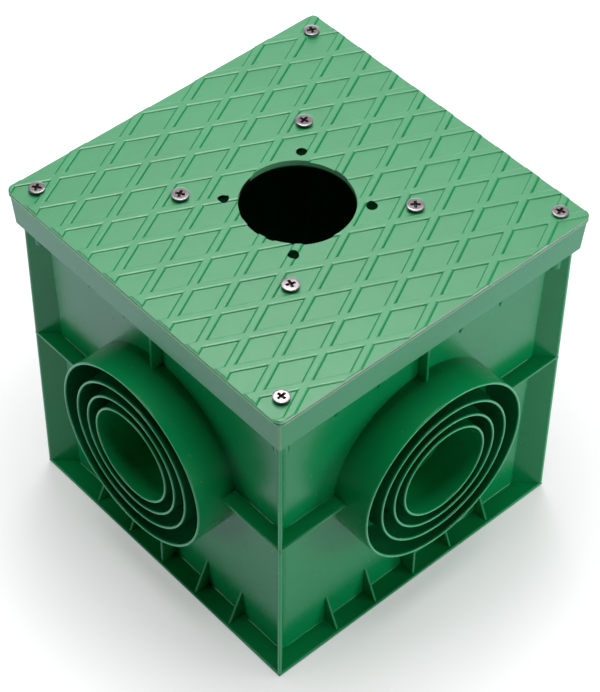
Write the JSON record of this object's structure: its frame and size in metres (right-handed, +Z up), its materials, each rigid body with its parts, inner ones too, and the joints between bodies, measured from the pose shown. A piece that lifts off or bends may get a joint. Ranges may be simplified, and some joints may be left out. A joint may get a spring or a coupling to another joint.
{
  "type": "garden tap box",
  "caption": "Square moulded access box with stepped round pipe sockets on its sides, corner fins, and a screwed lattice lid with a centre hole for a garden tap column.",
  "frame": {"origin": "centre of the base face, on the ground", "axes": "+Z up; the sides are square to X and Y; the picture looks from +X and -Y, down at 48 degrees"},
  "size_m": [0.2682, 0.2682, 0.2529],
  "materials": {
    "chamber_green": "satin moulded polypropylene, green",
    "frame_green": "satin moulded polypropylene, green",
    "lid_green": "satin moulded polypropylene with a lattice, green",
    "backing_green": "plain moulded polypropylene, green",
    "screw_zinc": "bright zinc plated"
  },
  "bodies": {
    "root": {"chamber_body": "chamber_green", "cover_frame": "frame_green", "lid_plate": "lid_green", "backing_plate": "backing_green", "corner_screws": "screw_zinc", "inner_screws": "screw_zinc"}
  },
  "joints": []
}
